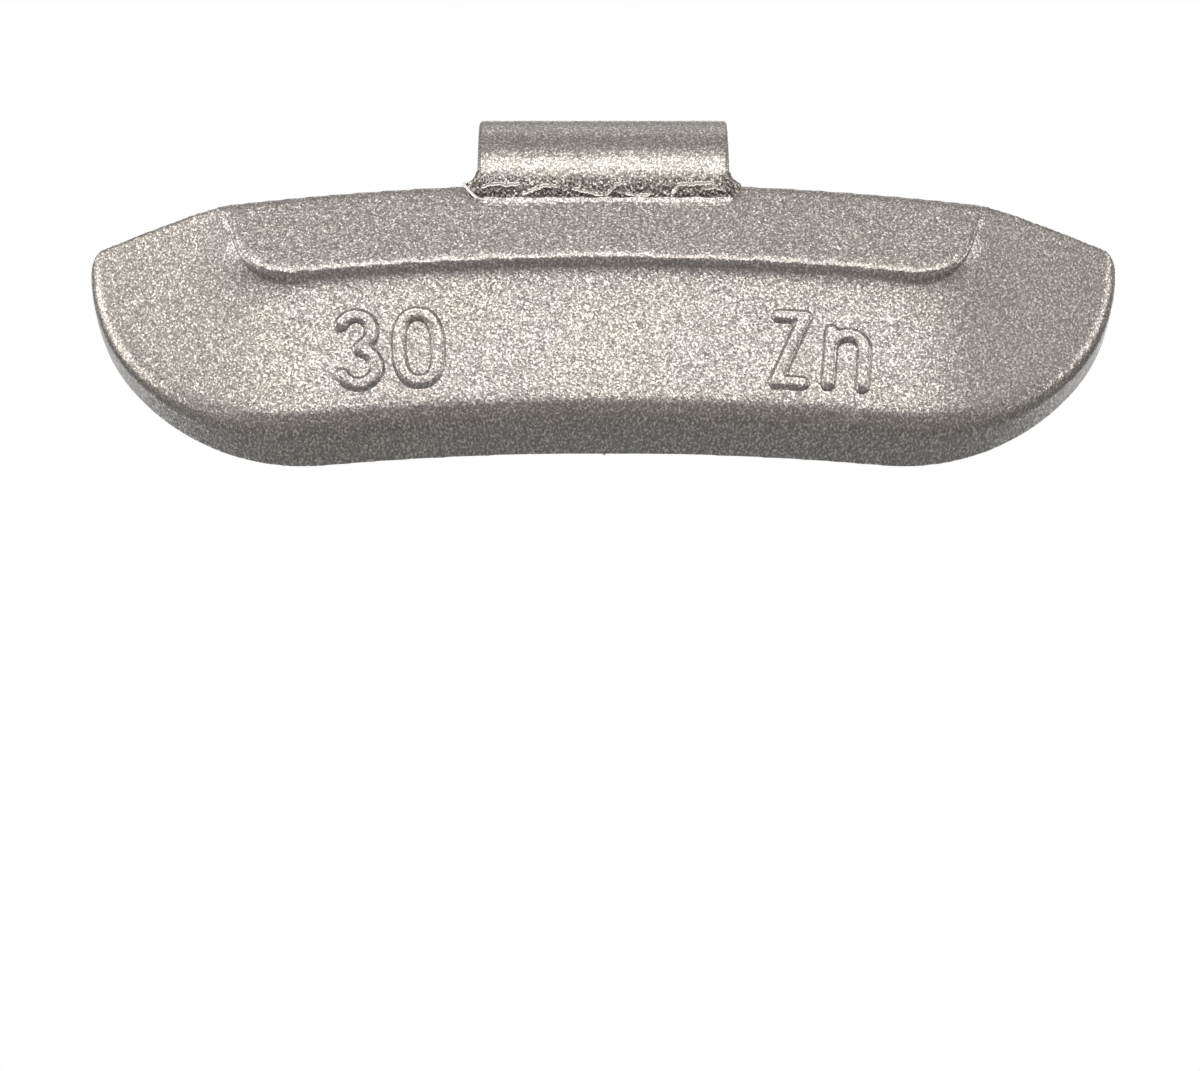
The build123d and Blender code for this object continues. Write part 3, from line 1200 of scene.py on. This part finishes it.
@dataclass(frozen=True)
class ZincCreep:
    """Rough skin of zinc that crept up the strip.

    Attributes:
        half_width: Half the strip's width.
        edge_round: Rounding of the strip's edges.
        hook_radius: Outside of the strip's bend.
        side_depth: How far it goes back along the strip's sides.
        low_angle: Its buried lower edge, in degrees above the front of the bend.
        crown_angle: Where it meets the crown beside the strip.
        front_top: Mean height of its edge in front.
        side_top: Height of its edge at the sides.
        edge_reach: Width of the rise of that edge towards the sides.
        ragged: Unevenness of that edge, in degrees.
        side_calm: How much less ragged it is at the sides.
        front_thickness: Thickness in front.
        front_rough: Roughness of that thickness, as a share.
        flare: Thickness at the crown beside the strip.
        flare_power: Power with which it grows downwards.
        side_rough: Roughness of the sides.
        corner_rough: Roughness near the corners.
        bed: How far it reaches into the strip.
        degrees_per_mm: Angle of a millimetre round the bend.
    """

    half_width: float = 7.4 * MM
    edge_round: float = 0.28 * MM
    hook_radius: float = 4.4 * MM
    side_depth: float = 0.9 * MM
    low_angle: float = -28.0
    crown_angle: float = -9.5
    front_top: float = -6.5
    side_top: float = -0.5
    edge_reach: float = 0.8 * MM
    ragged: float = 1.6
    side_calm: float = 0.6
    front_thickness: float = 0.09 * MM
    front_rough: float = 0.55
    flare: float = 0.55 * MM
    flare_power: float = 2.2
    side_rough: float = 0.05 * MM
    corner_rough: float = 0.04 * MM
    bed: float = 0.12 * MM
    degrees_per_mm: float = 13.0

    def strip_outline(self) -> tuple[Array, Array]:
        """Outline of the strip from one side over its front to the other.

        Returns:
            Points (n, 2), across and height above the bend's outside, and their outward normals.
        """
        r, flat = self.edge_round, self.half_width - self.edge_round
        turn = np.radians(np.linspace(180.0, 90.0, 9))
        corner = np.stack([np.cos(turn), np.sin(turn)], -1)
        side = line((-self.half_width, -self.side_depth), (-self.half_width, -r), 14)[:-1]
        front = line((-flat, 0.0), (flat, 0.0), 300)[1:-1]
        left = np.concatenate([side, np.array([-flat, -r]) + r * corner])
        left_normals = np.concatenate([np.tile([-1.0, 0.0], (len(side), 1)), corner])
        mirror = np.array([-1.0, 1.0])
        front_normals = np.tile([0.0, 1.0], (len(front), 1))
        points = np.concatenate([left, front, left[::-1] * mirror])
        return points, np.concatenate([left_normals, front_normals, left_normals[::-1] * mirror])

    def shell(self) -> Shell:
        """Grid over the strip's outline and t, from the buried edge to a ragged upper edge.

        In front it is a thin scale, thickness * (1 - t^6), and at the sides a flare that grows towards
        the crown with a power of the fall below its top. Ripples roughen it, most near the corners.

        Returns:
            Vertices and faces.
        """
        outline, normals = self.strip_outline()
        x, height = outline[:, :1], outline[:, 1:]
        aside = normals[:, :1] ** 2
        near_edge = np.maximum(aside, np.exp(-(((self.half_width - np.abs(x)) / self.edge_reach) ** 2)))
        run = run_along(outline)[:, None]
        ragged = ripple(run / MM, (0.4, 0.9, 2.4), 21)[:, None] * (1 - self.side_calm * aside)
        top = self.front_top + (self.side_top - self.front_top) * near_edge + self.ragged * ragged
        t = np.linspace(0.0, 1.0, 44)
        angle = self.low_angle + (top - self.low_angle) * t
        places = np.stack([np.broadcast_to(run, angle.shape) / MM, angle / self.degrees_per_mm], -1)
        rough = ripple(places, (0.22, 0.35, 0.6), 22)
        scale = self.front_thickness * (1 - t ** 6) * (1 + self.front_rough * rough)
        scale += self.corner_rough * rough * near_edge
        fall = np.clip((top - angle) / (self.side_top - self.crown_angle), 0.0, 1.0)
        flare = self.flare * fall ** self.flare_power + self.side_rough * rough * fall
        thick = scale * (1 - aside) + flare * aside
        depth = np.concatenate([thick, np.full_like(thick, -self.bed)], 1)
        turn = np.radians(np.concatenate([angle, angle[:, ::-1]], 1))
        radius = self.hook_radius + height + normals[:, 1:] * depth
        y, z = -radius * np.cos(turn), radius * np.sin(turn)
        return tube(np.stack([x + normals[:, :1] * depth, y, z], -1))


@dataclass(frozen=True)
class FlashFlakes:
    """Thin flakes of flash on the creep, along ragged paths across and up the strip's front.

    Attributes:
        face: The outside of the creep.
        ridge: Ridge of a flake, steep on one side.
        corners: Corners of each path: across in millimetres, and the angle round the bend in degrees.
        stray: How far the paths stray across, in millimetres, and round the bend, in degrees.
        waves: Wave lengths of the straying, as shares of the way between two corners.
        seeds: First seed of the straying across and round the bend.
    """

    face: HookFace = HookFace(4.47 * MM)
    ridge: Ridge = Ridge(0.16 * MM, 0.14 * MM, 0.05, 0.10 * MM, 13, 4, -0.55)
    corners: tuple[tuple[Point, ...], ...] = (
        ((-6.95, -12.6), (-6.3, -10.6), (-5.5, -11.6), (-4.95, -10.9)),
        ((-4.6, -18.0), (-3.9, -14.5), (-3.4, -12.2), (-2.7, -12.8)),
        ((-1.7, -14.6), (-0.9, -16.6), (-0.1, -19.0)),
        ((0.15, -19.0), (0.5, -14.0), (0.75, -10.8), (1.25, -10.2)),
        ((1.4, -17.8), (2.0, -19.2), (2.6, -18.6)),
        ((4.0, -18.8), (4.25, -14.0), (4.35, -11.4), (5.2, -11.0), (6.1, -10.2), (6.35, -11.3)),
        ((5.9, -14.2), (6.5, -13.0), (7.0, -15.2)),
    )
    stray: Point = (0.05, 0.55)
    waves: Point = (0.35, 0.9)
    seeds: tuple[int, int] = (30, 60)

    def flake(self, number: int) -> Shell:
        """One flake.

        Args:
            number: Its place in the list, which also seeds its path.

        Returns:
            Vertices and faces.
        """
        bend = np.array(self.corners[number])
        share = np.linspace(0.0, len(bend) - 1.0, 14 * len(bend))
        x, angle = through(bend, share).T
        x = x + self.stray[0] * ripple(share[:, None], self.waves, self.seeds[0] + number)
        angle = angle + self.stray[1] * ripple(share[:, None], self.waves, self.seeds[1] + number)
        return self.ridge.build(self.face, np.stack([x * MM, np.radians(angle)], -1))

    def shell(self) -> Shell:
        """All flakes as one shell."""
        return joined([self.flake(number) for number in range(len(self.corners))])


@dataclass(frozen=True)
class NotchEdge:
    """Raised edge of the opening's slanted side, from the crown down to the lip.

    Attributes:
        face: The front that it stands on.
        ridge: Its ridge.
        corners: Corners of its path, across and up.
        stray: How far it strays.
    """

    face: LeaningFace = LeaningFace()
    ridge: Ridge = Ridge(0.10 * MM, 0.05 * MM, 0.2, 0.10 * MM, 9, 4)
    corners: tuple[Point, ...] = (
        (-8.05 * MM, -0.78 * MM),
        (-7.75 * MM, -1.20 * MM),
        (-7.30 * MM, -1.72 * MM),
        (-6.9 * MM, -1.86 * MM),
    )
    stray: float = 0.03 * MM

    def shell(self) -> Shell:
        """Carries the ridge along the corners, straying by a ripple.

        Returns:
            Vertices and faces.
        """
        share = np.linspace(0.0, len(self.corners) - 1.0, 40)
        aside = self.stray * ripple(share[:, None], (0.4, 1.1), 71)
        return self.ridge.build(self.face, through(np.array(self.corners), share) + aside[:, None])


@dataclass
class ClipRoot:
    """Where the strip leaves the zinc: the casting's lip, zinc crept up the strip, and flakes of flash.

    Attributes:
        coat: Material of the lip.
        rough_painted_shade_coat: Material of the creep: its darker tones are painted shade of the
            recess, its coarser, rougher grain is the creep's own.
        flash_highlight_coat: Material of the flakes and of the raised edge, lighter than the body's coat
            as a painted highlight on these thin edges.
    """

    coat: bpy.types.Material
    rough_painted_shade_coat: bpy.types.Material
    flash_highlight_coat: bpy.types.Material

    def build(self) -> None:
        """Makes its four pieces."""
        finish_piece("mouth_lip", MouthLip().shell(), self.coat)
        finish_piece("zinc_creep", ZincCreep().shell(), self.rough_painted_shade_coat)
        finish_piece("flash_flakes", FlashFlakes().shell(), self.flash_highlight_coat)
        finish_piece("notch_edge", NotchEdge().shell(), self.flash_highlight_coat)


@dataclass
class RimClip:
    """The spring-steel clip, with the burr that stamping left along the flap's free edge.

    Attributes:
        node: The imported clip.
        coat: Its material.
        skin: Rounds the strip.
        free_edge: Inner corner of the flap's free edge.
        burr: Ridge of the burr.
        burr_half: Half its length.
        burr_stray: How far it strays.
    """

    node: bpy.types.Object
    coat: bpy.types.Material
    skin: SoftSkin = SoftSkin(0.12 * MM, 6, side_rounds=75)
    free_edge: StraightEdge = StraightEdge(4.33 * MM, -0.08 * MM, -30.0)
    burr: Ridge = Ridge(0.09 * MM, 0.08 * MM, 0.1, 0.10 * MM, 9, 4)
    burr_half: float = 6.2 * MM
    burr_stray: float = 0.025 * MM

    def dress(self) -> None:
        """Gives the strip its coat and its soft edges."""
        coat_node(self.node, self.coat)
        self.skin.put_on(self.node)

    def edge_burr(self) -> None:
        """Makes the thin burr along the free edge."""
        across = np.linspace(-self.burr_half, self.burr_half, 140)
        height = self.burr_stray * ripple(across[:, None] / MM, (0.6, 1.5), 41)
        shell = self.burr.build(self.free_edge, np.stack([across, height], -1))
        finish_piece("flap_burr", shell, self.coat)


@dataclass(frozen=True)
class Lamp:
    """Soft rectangular light aimed at the weight.

    Attributes:
        name: Name of the lamp.
        azimuth: Degrees to the right of the outer face's normal.
        elevation: Degrees above the horizon.
        size: Width and height.
        radiance: Brightness of its surface; the power is radiance * pi * area.
        colour: Its colour.
        reach: Distance from the weight.
    """

    name: str
    azimuth: float
    elevation: float
    size: Point
    radiance: float
    colour: Colour
    reach: float = 0.6

    def hang(self, aim: Array) -> None:
        """Puts the lamp in place.

        Args:
            aim: The point that it shines at.
        """
        data = bpy.data.lights.new(self.name, "AREA")
        data.shape = "RECTANGLE"
        data.size, data.size_y = self.size
        data.energy = self.radiance * math.pi * self.size[0] * self.size[1]
        data.color = self.colour
        lamp = bpy.data.objects.new(self.name, data)
        a, e = math.radians(self.azimuth), math.radians(self.elevation)
        way = np.array([math.sin(a) * math.cos(e), -math.cos(a) * math.cos(e), math.sin(e)])
        lamp.location = aim + way * self.reach
        lamp.rotation_euler = (math.radians(90.0 - self.elevation), 0.0, a)
        lamp.visible_camera = False
        bpy.context.scene.collection.objects.link(lamp)


@dataclass(frozen=True)
class Studio:
    """Camera below the weight's face, a key light, panels round it, a white sheet and a pale floor.

    Attributes:
        view_below: How far the camera is below the weight, in degrees.
        camera_pitch: How far it looks up, in degrees.
        distance: From the camera to the aim.
        aim: The point of the weight that camera and lamps are placed about.
        lens: Focal length of the camera, in millimetres.
        near_clip: Nearest distance that it shows.
        far_clip: Farthest distance that it shows.
        lamps: The lamps.
        fill_above: Light of the room from above, seen in the gloss.
        fill_below: Light of the room from below.
        horizon: Heights of the direction between which the room's light changes.
        sheet_pitch: Middle of the white sheet above the horizon, in degrees.
        sheet_full: Degrees from that middle up to which the sheet is white.
        sheet_gone: Degrees from that middle at which it ends.
        floor_z: Height of the floor.
        floor_radius: Its radius.
        floor_points: Corners of its rim.
        floor_colour: Its grey.
        floor_roughness: Its roughness.
        floor_seen: How much paler the camera sees it.
    """

    view_below: float = 18.331
    camera_pitch: float = 15.243
    distance: float = 286.67 * MM
    aim: tuple[float, float, float] = (-0.20 * MM, -3.0 * MM, -5.5 * MM)
    lens: float = 148.40
    near_clip: float = 1 * MM
    far_clip: float = 10.0
    lamps: tuple[Lamp, ...] = (
        Lamp("key_light", -6.8, 30.0, (0.72, 0.275), 2.58, (1.0, 0.95, 0.88)),
        Lamp("right_panel", 40.0, 14.0, (0.34, 0.40), 0.18, (1.0, 0.97, 0.94)),
        Lamp("right_side", 74.0, 6.0, (0.24, 0.40), 2.0, (1.0, 0.95, 0.89)),
        Lamp("left_panel", -77.0, 2.0, (0.42, 0.50), 2.2, (1.0, 0.95, 0.89)),
        Lamp("top_light", 180.0, 78.0, (0.6, 0.34), 0.44, (1.0, 0.98, 0.96)),
        Lamp("back_light", 168.0, 24.0, (0.5, 0.3), 2.2, (1.0, 0.98, 0.95), 0.85),
    )
    fill_above: Colour = (0.375, 0.366, 0.363)
    fill_below: Colour = (0.12, 0.117, 0.127)
    horizon: Point = (-0.35, 0.35)
    sheet_pitch: float = 6.0
    sheet_full: float = 14.0
    sheet_gone: float = 40.0
    floor_z: float = -150 * MM
    floor_radius: float = 1.5
    floor_points: int = 96
    floor_colour: float = 0.56
    floor_roughness: float = 0.9
    floor_seen: float = 0.5

    def camera(self) -> None:
        """Puts the camera at the photograph's angle, below the middle of the face."""
        data = bpy.data.cameras.new("camera")
        data.lens = self.lens
        data.clip_start = self.near_clip
        data.clip_end = self.far_clip
        camera = bpy.data.objects.new("camera", data)
        below = math.radians(self.view_below)
        back = np.array([0.0, -math.cos(below), -math.sin(below)])
        camera.location = np.array(self.aim) + back * self.distance
        camera.rotation_euler = (math.radians(90.0 + self.camera_pitch), 0.0, 0.0)
        bpy.context.scene.collection.objects.link(camera)
        bpy.context.scene.camera = camera

    def lights(self) -> None:
        """Hangs the key light above left, a panel at each side and overhead, and the light behind."""
        for lamp in self.lamps:
            lamp.hang(np.array(self.aim))

    def world(self) -> None:
        """White background for the camera, and behind the weight also in its gloss; dim fill elsewhere.

        The sheet's edge is a smooth step of the cosine of the angle from its middle.
        """
        world = bpy.data.worlds.new("studio")
        bpy.context.scene.world = world
        world.use_nodes = True
        graph = Graph(world.node_tree)
        way = graph.node("ShaderNodeTexCoord").outputs["Generated"]
        rays = graph.node("ShaderNodeLightPath").outputs
        pitch = math.radians(self.sheet_pitch)
        inputs = {0: way, 1: (0.0, math.cos(pitch), math.sin(pitch))}
        toward = graph.node("ShaderNodeVectorMath", inputs, operation="DOT_PRODUCT").outputs["Value"]
        edge = (math.cos(math.radians(self.sheet_gone)), math.cos(math.radians(self.sheet_full)))
        sheet = graph.ranged(toward, edge, (0.0, 1.0), "SMOOTHSTEP")
        glossy = graph.calculated("MULTIPLY", rays["Is Glossy Ray"], sheet)
        straight = graph.calculated("MAXIMUM", rays["Is Camera Ray"], rays["Is Transmission Ray"])
        shown = graph.calculated("MAXIMUM", straight, glossy)
        height = graph.node("ShaderNodeSeparateXYZ", {"Vector": way}).outputs["Z"]
        rise = graph.ranged(height, self.horizon, (0.0, 1.0), "SMOOTHSTEP")
        above = graph.calculated("MULTIPLY", rise, rays["Is Glossy Ray"])
        room = graph.mixed(above, self.fill_below, self.fill_above)
        white = graph.mixed(shown, room, (1.0, 1.0, 1.0))
        graph.fill(world.node_tree.nodes["Background"], {"Color": white})

    def floor(self) -> None:
        """Makes a plain round floor below; the camera sees it paler than it lights the weight."""
        angle = np.linspace(0.0, 2 * np.pi, self.floor_points, endpoint=False)
        rim = np.stack([np.cos(angle), np.sin(angle), np.zeros(len(angle))], -1) * self.floor_radius
        rim[:, 2] = self.floor_z
        floor = put_mesh("floor", rim, [list(range(len(angle)))])
        pale = bpy.data.materials.new("pale_floor")
        pale.use_nodes = True
        graph = Graph(pale.node_tree)
        seen = graph.node("ShaderNodeLightPath").outputs["Is Camera Ray"]
        graph.fill(pale.node_tree.nodes["Principled BSDF"], {
            "Base Color": (self.floor_colour, self.floor_colour, self.floor_colour, 1.0),
            "Roughness": self.floor_roughness,
            "Emission Color": (1.0, 1.0, 1.0, 1.0),
            "Emission Strength": graph.calculated("MULTIPLY", seen, self.floor_seen),
        })
        floor.data.materials.append(pale)


def main() -> None:
    """Builds the dressed weight and its studio."""
    logging.basicConfig(level=logging.INFO)
    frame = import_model()
    nodes = frame["nodes"]

    coat = SMOOTH_COAT.material("sparkle_coat")
    casting = ZincCasting(nodes["weight_body"], coat)
    casting.dress()
    casting.marks()
    casting.step_hollow()
    casting.back_traces()
    # The coat of the flakes and the raised edge carries a painted highlight.
    # The creep's coat carries painted shade of the recess at the strip's root.
    ClipRoot(coat, ROUGH_CREEP_PAINTED_SHADE.material("rough_creep_painted_shade"), FLASH_PAINTED_HIGHLIGHT.material("flash_painted_highlight")).build()
    clip = RimClip(nodes["rim_clip"], coat)
    clip.dress()
    clip.edge_burr()

    studio = Studio()
    studio.camera()
    studio.lights()
    studio.world()
    studio.floor()
    bpy.context.scene.view_settings.view_transform = "Standard"


if __name__ == "__main__":
    main()
